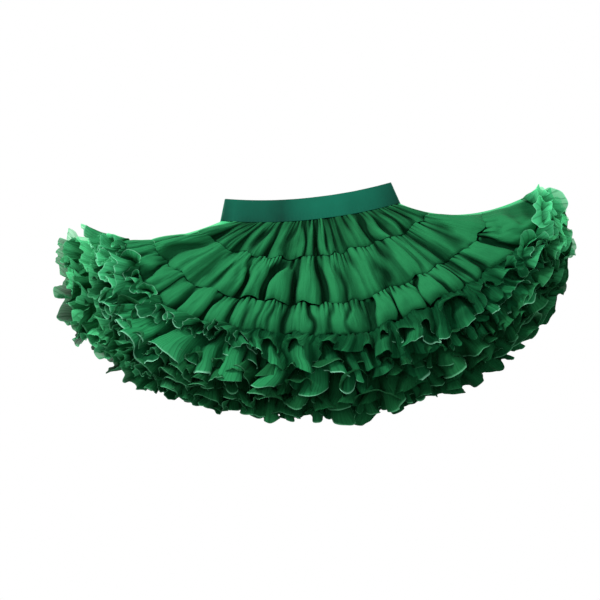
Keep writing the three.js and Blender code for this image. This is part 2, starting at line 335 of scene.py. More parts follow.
def gathered(heading, cloth, wave_columns):
    """Rows of gathered cloth, from the direction in which each column goes and how much cloth it takes.
    Returns how far each point lies from its even place along the row and how high it stands, both as parts
    of the row's length."""
    along = np.cumsum(np.cos(heading) * cloth, 1)
    across = np.cumsum(np.sin(heading) * cloth, 1)
    whole = along[:, -1:]
    even = np.cumsum(cloth, 1) / cloth.sum(1, keepdims=True)
    return steady(along / whole - even, wave_columns), steady(across / whole, wave_columns)


def steady(rows, columns):
    """Takes the slow drift out of each row, by the mean over a wave to either side."""
    padded = np.pad(rows, ((0, 0), (columns + 1, columns)), mode="reflect")
    total = np.cumsum(padded, 1)
    mean = (total[:, 2 * columns + 1:] - total[:, :-(2 * columns + 1)]) / (2 * columns + 1)
    return rows - mean


def swinging(g, pinch):
    """One swing for each whole number. A pinch narrows the valleys and rounds the tops between them."""
    return np.cos(2 * np.pi * (g + pinch * np.cos(2 * np.pi * g)))


# Tiers of the overskirt. folds and gathers are counted across the front, and swing and gather_swing are how
# far, in degrees, they turn the cloth. shade is the painted shade of the cloth halfway down a fold, from 0 to
# 1, and dark_at is the depth in millimetres that adds 1 to it.
TIER_COLUMNS = (
    "top", "hem", "folds", "swing", "pinch", "shade", "dark_at", "gathers", "gather_swing", "puff", "seed",
)
TIERS = {
    "yoke_tier": (0.0, YOKE_SEAM, 20, 70, 0.12, 0.68, 5.5, 34, 72, 3.0, 3),
    "second_tier": (YOKE_SEAM, SECOND_SEAM, 18, 82, 0.12, 0.34, 6.0, 54, 78, 6.0, 5),
    "third_tier": (SECOND_SEAM, OUTER_SEAM, 24, 108, 0.17, 0.36, 4.2, 74, 78, 6.5, 7),
}
SEAM_STRAY = 0.012
NARROW_SWING = 30
HEM_GATHER_SWING = 16
LUMP = 3.0


def seam_wobble(share, reach):
    """How far a seam strays from its reach. Each puff of the tier above hangs over it in a round scallop."""
    scallops = pipe(share * (9 + 10 * reach) + 0.5 * noise(share * 11, reach * 30))
    strays = scallops + noise(share * 9, reach * 50)
    return SEAM_STRAY * strays * smooth(0, 0.03, np.minimum(share, 1 - share))


def fold_heading(tier, share, v, g):
    """The cloth's direction round a tier's broad folds, g of them along, and the narrow ones on them."""
    seed = tier["seed"]
    near_top = np.exp(-(v / 0.22) ** 1.5)
    near_hem = np.exp(-((1 - v) / 0.14) ** 1.5)
    strength = np.clip(0.72 + 0.60 * noise(share * 15, seed + 3), 0.35, 1.15)
    strength = strength * (1 - 0.45 * smooth(0.86, 0.96, share))
    broad = np.radians(tier["swing"]) * strength * (1 - 0.6 * near_top) * (1 - 0.3 * near_hem)
    strength = np.clip(0.5 + 0.9 * noise_2d(share * 30, v * 2.5, seed + 2), 0, 1.2)
    narrow = np.radians(NARROW_SWING) * strength * (1 - near_top)
    narrow_g = 2.3 * g + 0.4 * noise(share * 20, seed + 6)
    return broad * swinging(g, tier["pinch"]) + narrow * swinging(narrow_g, 0.06)


def gather_heading(tier, v, k, uneven):
    """The cloth's direction round small gathers, k of them along, below a tier's seam and above its hem."""
    below_seam = np.radians(tier["gather_swing"]) * np.exp(-v / 0.26) * swinging(k, 0.10)
    above_hem = np.radians(HEM_GATHER_SWING) * np.exp(-(1 - v) / 0.07) * swinging(k * 1.7, 0.05)
    return uneven * (below_seam + above_hem)


def tier_front(tier, share, v, columns):
    """The folds of a tier's front: how far they shift its points along the row and raise them, as parts of
    the row's length, the height of the puff between its seams in millimetres, and the painted shade in the
    folds of its gathers."""
    seed = tier["seed"]
    wander = 0.8 * noise(share * 9, seed) + 0.35 * noise_2d(share * 24, v * 1.4, seed + 1)
    g = share * tier["folds"] + wander
    k = share * tier["gathers"] + 0.9 * noise(share * 27, seed + 5)
    uneven = 0.75 + 0.6 * noise(share * 60, seed + 7)
    heading = fold_heading(tier, share, v, g) + gather_heading(tier, v, k, uneven)
    cloth = np.broadcast_to(1 + 0.4 * noise(share * 15, seed + 8), heading.shape)
    shift, raised = gathered(heading, cloth, columns // tier["folds"])
    puff = tier["puff"] * np.sin(np.pi * v ** 1.4) ** 0.6
    lumps = LUMP * noise_2d(share * 16, v * 1.5 + tier["top"] * 9, seed + 9)
    # Painted shade in the folds of the gathers, just below the seam and above the hem
    crease_shade = np.clip(-np.sin(2 * np.pi * (k + 0.08 * np.cos(2 * np.pi * k))), 0, 1) ** 1.5
    crease_shade = crease_shade * np.clip(uneven, 0.3, 1) * (1.3 * np.exp(-v / 0.16) + 0.35 * np.exp(-(1 - v) / 0.05))
    return shift, raised, puff + lumps * np.sin(np.pi * v) ** 0.5, crease_shade


def loop_columns(tube, reach, front, back):
    """Columns round a flattened tube: along its front, round the right fold, along its back and round the
    left fold. Gives for each its share, its way out past the fold and its level, from 0 on the back to 1 on
    the front."""
    low = inset_share(tube, reach)
    turn = np.radians(SIDE_TURN)
    half = (fold_level(tube) - back_level(tube)) / 2
    share = np.concatenate([
        low + (1 - 2 * low) * np.linspace(0, 1, front),
        np.full(len(turn), 1 - low),
        1 - low - (1 - 2 * low) * np.linspace(0, 1, back),
        np.full(len(turn), low),
    ])
    out = np.concatenate([
        np.zeros(front),
        SIDE_BULGE * half * np.cos(turn),
        np.zeros(back),
        -SIDE_BULGE * half * np.cos(turn),
    ])
    level = np.concatenate([
        np.ones(front),
        0.5 + 0.5 * np.sin(turn),
        np.zeros(back),
        0.5 - 0.5 * np.sin(turn),
    ])
    return share, out, level


def side_sheer(share, reach):
    """The cloth is thin enough to see through where a tube turns over at its side folds."""
    left = 1 - smooth(3, 28, share * arc_length(reach))
    right = 1 - smooth(0.5, 6, (1 - share) * arc_length(reach))
    return np.maximum(0.62 * left, 0.50 * right)


def tier_painted_shade(tier, share, reach, v, folds, drape, crease_shade):
    """The painted shade on a tier's front: 0 on its ridges and 1 deep in its folds, and less towards both
    sides.
    """
    below_yoke = tier["top"] > 0
    # Painted shade along the seams, down the folds and in the gathers' folds, and lighter towards the sides
    at_seams = np.exp(-v / 0.035) * below_yoke + 0.7 * np.exp(-(1 - v) / 0.03)
    shade = tier["shade"] - folds / tier["dark_at"] - drape / 14 + 0.12 * at_seams + 0.9 * crease_shade
    pale_side = 0.60 * (1 - smooth(0.15, 0.42, share)) + 0.7 * smooth(0.93, 0.985, share)
    shade = shade * (1 - pale_side * below_yoke) - 0.5 * side_sheer(share, reach)
    return np.clip(shade, 0, 1)


def tier_piece(name, material):
    tier = dict(zip(TIER_COLUMNS, TIERS[name]))
    rows = 26 if tier["top"] == 0 else 36
    front, back = 1150, 150
    share, out, level = loop_columns(OUTER, tier["top"], front, back)
    is_front = np.zeros(len(share))
    is_front[:front] = 1
    at_side = 1 - smooth(0, 0.02, np.minimum(share, 1 - share))
    gap = SEAM_GAP - SIDE_LAP * at_side
    v = np.linspace(0, 1, rows)[:, None]
    top = tier["top"] + (seam_wobble(share, tier["top"]) * is_front + gap) * (tier["top"] > 0)
    hem = tier["hem"] + seam_wobble(share, tier["hem"]) * is_front - gap
    reach = top + (hem - top) * v
    share = np.broadcast_to(share, reach.shape)
    x, y, along_x, along_y, scale = plan_frame(share, reach)
    round_ = side_round(OUTER, share, reach) * is_front
    shift, raised, puff, crease_shade = tier_front(tier, share[:1, :front], v, front)
    pad = ((0, 0), (0, share.shape[1] - front))
    sideways = out + np.pad(shift, pad) * scale * round_
    folds = np.pad(raised, pad) * scale * round_
    swell = front_height(OUTER, share, reach) - fold_level(OUTER) + np.pad(puff, pad)
    base = back_level(OUTER) + (fold_level(OUTER) - back_level(OUTER)) * level
    pressed = 0.25 * (1 - is_front) * pipe(share * tier["folds"] * 2)
    z = base + swell * round_ + folds + pressed
    drape = large_folds(share, reach) * round_
    grid = {
        "points": np.stack([x + along_x * sideways, y + along_y * sideways, z], -1),
        "place": np.stack([share * 1.6 * arc_length(tier["hem"]), reach * RIB], -1),
        "closed": True,
        "edge": 0.0,
        "painted_shade_and_tone": tier_painted_shade(tier, share, reach, v, folds, drape, np.pad(crease_shade, pad)) * is_front,
        "sheer": side_sheer(share, reach),
    }
    return cloth_piece(name + "_cloth", [grid], material)


# Frills: plies of gathered cloth, each free at its outer edge. length is from the seam to that edge, fallen
# the same where its petals fall straight down, and ragged how unevenly it ends. stand and droop are the angles
# above the surface at the seam and at the edge, in degrees like swing and flutes, which turn the cloth round
# its waves and the flutes on them. lift and start set the ply's seam off, upwards and outwards, from the
# frill's. back_hem is the reach at which the frill's back ends.
PLY_COLUMNS = (
    "waves", "length", "fallen", "ragged", "stand", "droop", "swing", "flutes", "lift", "start",
    "sheer", "seed",
)
FRILLS = {
    "outer_frill": {
        "tube": OUTER, "seam": OUTER_SEAM, "back_hem": 0.74,
        "plies": (
            (26, 29, 35, 0.40, 40, 38, 98, 38, 3.0, 0.000, 0.22, 11),
            (30, 35, 45, 0.42, 28, 26, 94, 40, 1.5, 0.004, 0.24, 12),
            (25, 41, 51, 0.38, 14, 12, 90, 40, 0.0, 0.004, 0.26, 13),
            (28, 46, 54, 0.34, 4, -2, 84, 36, -3.0, 0.010, 0.20, 14),
        ),
    },
    "middle_frill": {
        "tube": MIDDLE, "seam": MIDDLE_SEAM, "back_hem": 0.85,
        "plies": (
            (25, 33, 41, 0.38, 42, 34, 94, 36, 6.0, -0.014, 0.24, 21),
            (28, 38, 48, 0.38, 26, 18, 90, 36, 3.0, -0.002, 0.24, 22),
            (24, 42, 51, 0.34, 12, 4, 86, 36, 0.0, 0.004, 0.26, 23),
            (29, 47, 50, 0.28, 4, 0, 80, 34, -4.0, 0.016, 0.18, 24),
        ),
    },
    "inner_frill": {
        "tube": INNER, "seam": INNER_SEAM, "back_hem": 0.93,
        "plies": (
            (26, 34, 38, 0.34, 40, 24, 92, 36, 8.0, -0.012, 0.24, 31),
            (30, 38, 40, 0.30, 24, 12, 88, 36, 5.0, 0.000, 0.26, 32),
            (27, 40, 41, 0.26, 12, 4, 84, 36, 2.0, 0.004, 0.28, 33),
            (33, 42, 41, 0.20, 5, 1, 76, 34, 0.0, 0.004, 0.18, 34),
        ),
    },
}

# How the frills change along the hem: how much more they stand up, in degrees, the part of their swing,
# length, wave width, flutes and sheerness that they have there, how far their petals fall straight down, how
# much more painted shade they have, and how clear the painted highlight along their rim is
TEMPER_COLUMNS = ("share", "stand", "swing", "length", "wave", "flute", "fall", "shade", "sheer", "rim")
TEMPER = (
    (0.00, -4, 0.90, 0.96, 0.90, 1.00, 0.0, -0.46, 1.80, 1.0),
    (0.06, 6, 1.05, 0.80, 0.95, 1.00, 0.0, -0.46, 1.60, 1.0),
    (0.10, 15, 1.12, 0.84, 0.98, 1.00, 0.0, -0.45, 1.40, 1.0),
    (0.14, 20, 1.15, 1.22, 1.00, 1.00, 0.0, -0.34, 1.25, 0.9),
    (0.22, 24, 1.20, 1.22, 0.95, 1.00, 0.0, -0.18, 1.05, 0.9),
    (0.32, 16, 1.15, 1.12, 0.85, 1.00, 0.3, -0.03, 0.80, 1.0),
    (0.44, 4, 1.05, 1.03, 1.05, 0.80, 0.8, 0.20, 0.40, 1.0),
    (0.56, -6, 1.00, 0.97, 1.25, 0.70, 1.0, 0.30, 0.30, 0.8),
    (0.68, -6, 0.95, 1.00, 1.25, 0.70, 1.0, 0.36, 0.30, 0.8),
    (0.80, 0, 0.90, 0.98, 1.10, 0.80, 0.9, 0.50, 0.40, 0.8),
    (0.92, 4, 0.90, 0.97, 0.90, 1.00, 0.5, 0.38, 0.90, 0.8),
    (1.00, 4, 0.90, 0.94, 0.85, 1.00, 0.2, -0.04, 2.30, 0.9),
)

# The steps and rows of a ply's mesh, the swing of its gathers and crimp in degrees, the heights from which it
# flattens out above the surface and below its top, and the most that it is sheer
PLY_STEPS = 50
PLY_ROWS = 11
GATHER_SWING = 55
CRIMP_SWING = 30
LOW = 3.0
LOWEST = 0.4
HIGH = 56
HIGH_SPREAD = 22
MOST_SHEER = 0.75


def temper(column, share):
    """A column of the frills' temper at any share."""
    table = np.array(TEMPER, float)
    return np.interp(share, table[:, 0], table[:, TEMPER_COLUMNS.index(column)])


def crumpled(x, y, z, t, share, seed):
    """Moves the free part of a ply about in uneven lumps, so that its waves aren't all alike."""
    amount = np.clip(t / 0.3, 0, 1) * (1 + 0.3 * (1 - temper("fall", share)))
    dx = 4.0 * noise_2d(x / 34, y / 34, seed + 20) + 1.9 * noise_2d(x / 12, y / 12, seed + 21)
    dy = 4.0 * noise_2d(x / 34, y / 34, seed + 22) + 1.9 * noise_2d(x / 12, y / 12, seed + 23)
    dz = 2.5 * noise_2d(x / 30, y / 30, seed + 24) + 0.8 * noise_2d(x / 9, y / 9, seed + 25)
    low = np.clip(z / 8, 0, 1)
    return x + dx * amount, y + dy * amount, z + dz * amount * low


def ply_spread(ply, low):
    """A ply's columns: how many waves along each lies, its cloth, its part of the row and its share."""
    waves = ply["waves"]
    seed = ply["seed"]
    g = np.linspace(0, waves, waves * PLY_STEPS + 1)[None, :]
    uneven = 0.45 + 0.55 * temper("fall", g / waves)
    cloth = np.exp(uneven * (0.50 * noise(g * 0.6, seed) + 0.30 * noise(g * 1.7, seed + 50)))
    cloth = cloth * temper("wave", g / waves)
    even = (np.cumsum(cloth) / cloth.sum())[None, :]
    share = low + (1 - 2 * low) * (even - even[0, 0]) / (even[0, -1] - even[0, 0])
    return g, cloth, even, share


def ply_length(tube, ply, g, share, side):
    """How long a ply is from its seam to its free edge. Where it has fallen, its waves end in petals."""
    seed = ply["seed"]
    fall = temper("fall", share)
    length = ply["length"] + (ply["fallen"] - ply["length"]) * fall
    length = length * (0.7 + 0.3 * side) * temper("length", share)
    ragged = ply["ragged"] * (1.2 - 0.2 * fall if tube is OUTER else 0.9)
    length = length * (1 + ragged * (0.7 * noise(g * 0.33, seed + 1) + 0.5 * noise(g * 0.9, seed + 2)))
    length = length * (1 + 0.05 * noise(g * 4.1, seed + 14))
    petals = np.sin(2 * np.pi * (g + 0.3 * noise(g * 0.8, seed + 7)))
    return length * (1 + 0.15 * petals * fall)


def ply_tilt(ply, g, share, side, t):
    """How steeply a ply rises, from its seam to its free edge."""
    seed = ply["seed"]
    here = temper("stand", share)
    stand = np.radians((ply["stand"] + here + 22 * noise(g * 0.40, seed + 3)) * side)
    droop = np.radians((ply["droop"] + here + 32 * noise(g * 0.55, seed + 4)) * side)
    return stand + (droop - stand) * t


def ply_heading(ply, g, share, side, t):
    """The cloth's direction round a ply's waves, flutes, fine crimp and the gathers at its seam."""
    seed = ply["seed"]
    flute_here = temper("flute", share)
    swing = np.radians(ply["swing"] + 18 * noise(g * 0.6, seed + 5)) * side * temper("swing", share)
    waves = swing * (0.20 + 0.80 * t ** 0.9) * swinging(g + 0.3 * noise(g * 0.8, seed + 7), 0.03)
    swing = np.radians(ply["flutes"]) * (0.7 + 0.6 * noise(g * 0.8, seed + 6)) * side * flute_here
    flutes = 1.25 * swing * smooth(0.20, 1.0, t) * swinging(3.1 * g + 0.9 * noise(g * 1.9, seed + 10), 0.0)
    strength = np.clip(0.6 + 0.8 * noise(g * 1.1, seed + 16), 0, 1.3)
    swing = np.radians(CRIMP_SWING) * strength * side * flute_here
    crimp = swing * smooth(0.45, 1.0, t) * swinging(6.7 * g + 1.1 * noise(g * 3.3, seed + 15), 0.0)
    swing = np.radians(GATHER_SWING) * np.exp(-t / 0.20) * side
    gathers = swing * swinging(3 * g + 0.5 * noise(g * 2, seed + 8), 0.05)
    return waves + flutes + crimp + gathers


def ply_start(tube, seam, ply, g, share, low):
    """The reach of a ply's seam, which wavers, and closes over the tube's side folds."""
    wobble = seam_wobble(share, seam) if tube is OUTER else SEAM_STRAY * noise(g * 0.4, ply["seed"] + 9)
    closing = 0.03 * (1 - smooth(0, 0.03, np.minimum(share, 1 - share) - low))
    return seam + ply["start"] + SEAM_GAP + wobble - closing


def ply_look(ply, g, share, t, x, y, raised):
    """How near a ply's points are to its free edge, how much painted shade they have and how sheer. Where it
    stands, a ply has painted shade down in its folds, and where it has fallen, painted shade nearly all over."""
    seed = ply["seed"]
    fall = temper("fall", share)
    patches = 0.24 * noise_2d(x / 38, y / 30, 77) + 0.12 * noise_2d(x / 15, y / 15, 78)
    standing = 0.80 - 0.62 * t ** 0.7 - raised / 12
    fallen = 0.88 - 0.25 * t - raised / 30
    painted_shade_and_tone = standing + (fallen - standing) * fall + temper("shade", share) + patches
    sheer = ply["sheer"] * temper("sheer", share) * (0.5 + 0.8 * t + 0.5 * t * noise(g * 0.3, seed + 13))
    sheer = np.clip(sheer, 0, MOST_SHEER)
    rim = np.clip(temper("rim", share) * (1 + fall * (0.9 * noise(g * 1.3, seed + 17) - 0.35)), 0, 1)
    return {"edge": t - 0.05 * (1 - rim), "painted_shade_and_tone": np.clip(painted_shade_and_tone, 0, 1) * (1 - sheer), "sheer": sheer}


def frill_ply(tube, seam, ply):
    """One ply of a frill: gathered cloth that runs out from its seam, rises and crumples."""
    seed = ply["seed"]
    low = inset_share(tube, seam)
    g, cloth, even, share = ply_spread(ply, low)
    t = np.linspace(0, 1, PLY_ROWS)[:, None] ** 0.9
    side = 0.4 + 0.6 * side_round(tube, share, seam)
    length = ply_length(tube, ply, g, share, side)
    tilt = ply_tilt(ply, g, share, side, t)
    stretch = np.diff(t, axis=0) * length
    middle_tilt = (tilt[1:] + tilt[:-1]) / 2
    zero = np.zeros(share.shape)
    out = np.concatenate([zero, np.cumsum(stretch * np.cos(middle_tilt), 0)])
    up = np.concatenate([zero, np.cumsum(stretch * np.sin(middle_tilt), 0)])
    reach = ply_start(tube, seam, ply, g, share, low) + out / rib_length(share[0])
    x, y, along_x, along_y, scale = plan_frame(np.broadcast_to(share, reach.shape), reach)

    heading = ply_heading(ply, g, share, side, t)
    shift, raised = gathered(heading, np.broadcast_to(cloth, heading.shape), PLY_STEPS)
    row_length = (1 - 2 * low) * scale * smooth(0, 0.012, np.minimum(share, 1 - share) - low)
    raised = raised * row_length
    lean = length * (0.40 * noise(g * 0.25, seed + 11) + 0.22 * noise(g * 0.8, seed + 12)) * t ** 1.3
    sideways = shift * row_length + lean
    inwards = np.sin(tilt) * raised
    x = x + along_x * sideways - along_y * inwards
    y = y + along_y * sideways + along_x * inwards
    z = front_height(tube, share, seam) + ply["lift"] * side + up + np.cos(tilt) * raised
    z = np.where(z < LOW, LOWEST + (LOW - LOWEST) * np.exp((z - LOW) / (LOW - LOWEST)), z)
    x, y, z = crumpled(x, y, z, t, share, seed)
    z = np.where(z > HIGH, HIGH + HIGH_SPREAD * (1 - np.exp((HIGH - z) / HIGH_SPREAD)), z)
    cloth_length = (1 - 2 * low) * scale.mean() * 1.8
    place = np.stack(np.broadcast_arrays(even * cloth_length, t * ply["length"]), -1)
    return {"points": np.stack([x, y, z], -1), "place": place, **ply_look(ply, g, share, t, x, y, raised)}


def frill_back(frill):
    """The back half of a frill, pressed flat under the skirt."""
    columns, rows = 420, 8
    hem_level = 0.5
    lowest = 0.3
    seam = frill["seam"]
    share = np.linspace(0.002, 0.998, columns)[None, :]
    t = np.linspace(0, 1, rows)[:, None]
    reach = seam + SEAM_GAP + (frill["back_hem"] + 0.006 * noise(share * 40, 9) - seam) * t
    share = np.broadcast_to(share, reach.shape)
    x, y, _, _, scale = plan_frame(share, reach)
    level = back_level(frill["tube"]) * (1 - t) + hem_level * t
    z = np.maximum(level + 0.5 * t * pipe(share * 70 + 0.5 * noise(share * 30, 4)), lowest)
    points = np.stack([x, y, z], -1)
    place = np.stack([share * scale, reach * RIB], -1)
    # A flat painted shade, as the back lies under the skirt
    return {"points": points, "place": place, "edge": 0.0, "painted_shade_and_tone": 0.6, "sheer": 0.0}


def frill_piece(name, material):
    frill = FRILLS[name]
    plies = [dict(zip(PLY_COLUMNS, row)) for row in frill["plies"]]
    grids = [frill_ply(frill["tube"], frill["seam"], ply) for ply in plies]
    return cloth_piece(name + "_cloth", grids + [frill_back(frill)], material)


# Petticoats: they only show between frills, so they are plain tubes.

def petticoat_piece(name, tube, seam, material):
    rows = 14
    front, back = 320, 80
    share, out, level = loop_columns(tube, seam / 2, front, back)
    is_front = np.zeros(len(share))
    is_front[:front] = 1
    reach = np.broadcast_to(np.linspace(0.0, seam - SEAM_GAP, rows)[:, None], (rows, len(share)))
    share = np.broadcast_to(share, reach.shape)
    x, y, along_x, along_y, scale = plan_frame(share, reach)
    round_ = side_round(tube, share, reach) * is_front
    base = back_level(tube) + (fold_level(tube) - back_level(tube)) * level
    z = base + (front_height(tube, share, reach) - fold_level(tube)) * round_
    points = np.stack([x + along_x * out, y + along_y * out, z], -1)
    place = np.stack([share * 1.5 * arc_length(seam), reach * RIB], -1)
    grid = {
        "points": points,
        "place": place,
        "closed": True,
        "edge": 0.0,
        # Painted shade, as they lie under the frills, less where the cloth is sheer
        "painted_shade_and_tone": 0.8 - side_sheer(share, reach),
        "sheer": side_sheer(share, reach),
    }
    return cloth_piece(name + "_cloth", [grid], material)


# The elastic waistband: a ring of woven elastic whose two faces lie close together at the top edge. Its front
# has painted shade in places: each pair is a share and how dark the painted shade is.
BAND_SHADE = (
    (0.00, 0.75), (0.06, 0.35), (0.14, 0.60), (0.24, 0.70), (0.34, 0.95), (0.42, 0.45),
    (0.52, 0.15), (0.66, 0.05), (0.78, 0.25), (0.88, 0.45), (0.95, 0.75), (1.00, 0.95),
)


def waistband_piece(material):
    steps = 240
    rows = 15
    up = np.linspace(1, 0, rows)[:, None]
    share = np.linspace(0, 1, steps)[None, :]
    middle = (BAND_LEFT + BAND_RIGHT) / 2
    opening = BAND_MOUTH * up + (fold_level(OUTER) + WALL / 2 - BAND_WALL) * (1 - up)

    def band_line(at):
        x, y = waist_point(at, -up * BAND_HEIGHT)
        return middle + (x - middle) * (1 - BAND_DRAWN_IN * up), y

    def face(shares, height):
        return np.stack(np.broadcast_arrays(*band_line(shares), height), -1)

    def fold(at, outward):
        turn = np.radians(SIDE_TURN) * outward
        x, y = band_line(at)
        bulge = SIDE_BULGE / 2 * opening * np.cos(turn)
        height = BAND_WALL / 2 + opening / 2 * (1 + np.sin(turn) * outward)
        return np.stack(np.broadcast_arrays(x + bulge * outward, y, height), -1)

    dents = (0.6 * noise(share * 5, 41) + 0.15 * noise(share * 14, 42)) * np.sin(np.pi * share)
    gathers = 0.12 * (1 - up) ** 4 * pipe(share * 46)
    swell = 0.6 * np.sin(np.pi * share) ** 0.3 * np.sin(np.pi * up)
    front = face(share, BAND_WALL / 2 + opening + dents + gathers + swell)
    back = face(share[:, ::-1], BAND_WALL / 2)
    points = np.concatenate([front, fold(1.0, 1), back, fold(0.0, -1)], 1)
    columns = points.shape[1]
    across = np.arange(columns)[None, :] * (BAND_RIGHT - BAND_LEFT) / steps
    place = np.stack(np.broadcast_arrays(across, up * BAND_HEIGHT), -1)
    painted_shade_and_tone = np.zeros((rows, columns))
    # Painted shade on the front, lighter towards its top edge
    painted_shade_and_tone[:, :steps] = np.interp(share, *np.array(BAND_SHADE).T) * (1 - 0.35 * up)
    grid = {"points": points, "place": place, "closed": True, "edge": 0.0, "painted_shade_and_tone": painted_shade_and_tone, "sheer": 0.0}
    piece = cloth_piece("waistband_elastic", [grid], material)
    thick = piece.modifiers.new("thickness", "SOLIDIFY")
    thick.thickness = BAND_WALL * MM
    thick.offset = 0
    round_ = piece.modifiers.new("soft_edges", "BEVEL")
    round_.width = 0.4 * MM
    round_.segments = 2
    round_.limit_method = "ANGLE"
    return piece


# Materials

def add_node(tree, kind, inputs=None, **settings):
    """Adds a node. Each input is a value or another node's output."""
    node = tree.nodes.new("ShaderNode" + kind)
    for name, value in settings.items():
        setattr(node, name, value)
    for socket, value in (inputs or {}).items():
        if isinstance(value, bpy.types.NodeSocket):
            tree.links.new(value, node.inputs[socket])
        else:
            node.inputs[socket].default_value = value
    return node


def calculate(tree, operation, first, second=0.0, clamp=False):
    """Adds a calculation on two values, and gives its result."""
    node = add_node(tree, "Math", {0: first, 1: second}, operation=operation, use_clamp=clamp)
    return node.outputs[0]


def shader_group(name, inputs, outputs):
    """A new node group, with its inner ends. An input is a label, a kind of socket and a first value."""
    group = bpy.data.node_groups.new(name, "ShaderNodeTree")
    for label, kind, value in inputs:
        socket = group.interface.new_socket(label, in_out="INPUT", socket_type="NodeSocket" + kind)
        socket.default_value = value
    for label, kind in outputs:
        group.interface.new_socket(label, in_out="OUTPUT", socket_type="NodeSocket" + kind)
    given = group.nodes.new("NodeGroupInput").outputs
    result = group.nodes.new("NodeGroupOutput").inputs
    return group, given, result


def cloth_tone_group():
    """Painted shade: cloth that is dark deep in its folds and paler on its ridges, with uneven patches."""
    group, given, result = shader_group(
        "cloth_tone",
        [
            ("Ridge", "Color", (0, 0.2, 0.1, 1)),
            ("Painted Shade", "Color", (0, 0.05, 0.02, 1)),
            ("Patches", "Float", 0.3),
            ("Streaks", "Float", 0.0),
        ],
        [("Colour", "Color")],
    )
    # Painted shade: the darker the attribute read here, the nearer the colour goes to the shade colour
    painted_shade_and_tone = add_node(group, "Attribute", attribute_name="painted_shade_and_tone").outputs["Fac"]
    place = add_node(group, "TexCoord").outputs["Object"]
    clouds = add_node(group, "TexNoise", {"Vector": place, "Scale": 28.0, "Detail": 3.0}).outputs["Fac"]
    patch = calculate(group, "MULTIPLY", calculate(group, "SUBTRACT", clouds, 0.5), given["Patches"])
    depth = calculate(group, "ADD", calculate(group, "ADD", painted_shade_and_tone, given["Streaks"]), patch, clamp=True)
    mix = add_node(group, "Mix", {"Factor": depth}, data_type="RGBA")
    group.links.new(given["Ridge"], mix.inputs["A"])
    group.links.new(given["Painted Shade"], mix.inputs["B"])
    group.links.new(mix.outputs["Result"], result["Colour"])
    return group


def fine_pleats_group():
    """Fine uneven pleats that run out from a seam: their raised lines, and a height for bump."""
    group, given, result = shader_group(
        "fine_pleats",
        [("Spacing", "Float", 0.004), ("Waver", "Float", 1.5)],
        [("Lines", "Float"), ("Height", "Float")],
    )
    place = add_node(group, "UVMap", uv_map="cloth").outputs["UV"]
    stretched = add_node(group, "Mapping", {"Vector": place, "Scale": (1.0, 0.25, 1.0)}).outputs["Vector"]
    bend = add_node(group, "TexNoise", {"Vector": stretched, "Scale": 90.0, "Detail": 1.0}).outputs["Fac"]
    across = add_node(group, "SeparateXYZ", {"Vector": place}).outputs["X"]
    pleat = calculate(group, "DIVIDE", across, given["Spacing"])
    pleat = calculate(group, "ADD", pleat, calculate(group, "MULTIPLY", bend, given["Waver"]))
    wave = calculate(group, "SINE", calculate(group, "MULTIPLY", pleat, 2 * math.pi))
    lines = add_node(group, "MapRange", {"Value": wave, "From Min": 0.55, "From Max": 1.0}, clamp=True)
    group.links.new(lines.outputs["Result"], result["Lines"])
    group.links.new(wave, result["Height"])
    return group


def streaks_group():
    """Soft uneven streaks that run out from a seam, where thin cloth lies in small folds."""
    group, given, result = shader_group(
        "soft_streaks",
        [("Width", "Float", 0.004), ("Length", "Float", 0.05)],
        [("Streaks", "Float")],
    )
    place = add_node(group, "UVMap", uv_map="cloth").outputs["UV"]
    parts = add_node(group, "SeparateXYZ", {"Vector": place})
    across = calculate(group, "DIVIDE", parts.outputs["X"], given["Width"])
    along = calculate(group, "DIVIDE", parts.outputs["Y"], given["Length"])
    stretched = add_node(group, "CombineXYZ", {"X": across, "Y": along}).outputs["Vector"]
    looks = {"Vector": stretched, "Scale": 1.0, "Detail": 3.0, "Roughness": 0.6}
    uneven = add_node(group, "TexNoise", looks).outputs["Fac"]
    group.links.new(calculate(group, "SUBTRACT", uneven, 0.5), result["Streaks"])
    return group


def weave_group():
    """A plain weave: threads over and under each other, with slightly uneven yarn."""
    group, given, result = shader_group("plain_weave", [("Thread", "Float", 0.0009)], [("Height", "Float")])
    place = add_node(group, "UVMap", uv_map="cloth").outputs["UV"]
    parts = add_node(group, "SeparateXYZ", {"Vector": place})
    yarn = add_node(group, "TexNoise", {"Vector": place, "Scale": 700.0, "Detail": 2.0}).outputs["Fac"]
    waves = []
    for axis in ("X", "Y"):
        turns = calculate(group, "DIVIDE", parts.outputs[axis], given["Thread"])
        waves.append(calculate(group, "SINE", calculate(group, "MULTIPLY", turns, 2 * math.pi)))
    crossing = calculate(group, "MULTIPLY", waves[0], waves[1])
    group.links.new(calculate(group, "ADD", crossing, yarn), result["Height"])
    return group


CLOTH_TONE = cloth_tone_group()
FINE_PLEATS = fine_pleats_group()
SOFT_STREAKS = streaks_group()
PLAIN_WEAVE = weave_group()


def use_group(tree, group, inputs):
    return add_node(tree, "Group", inputs, node_tree=group).outputs


def new_material(name):
    material = bpy.data.materials.new(name)
    material.use_nodes = True
    return material, material.node_tree, material.node_tree.nodes["Principled BSDF"]


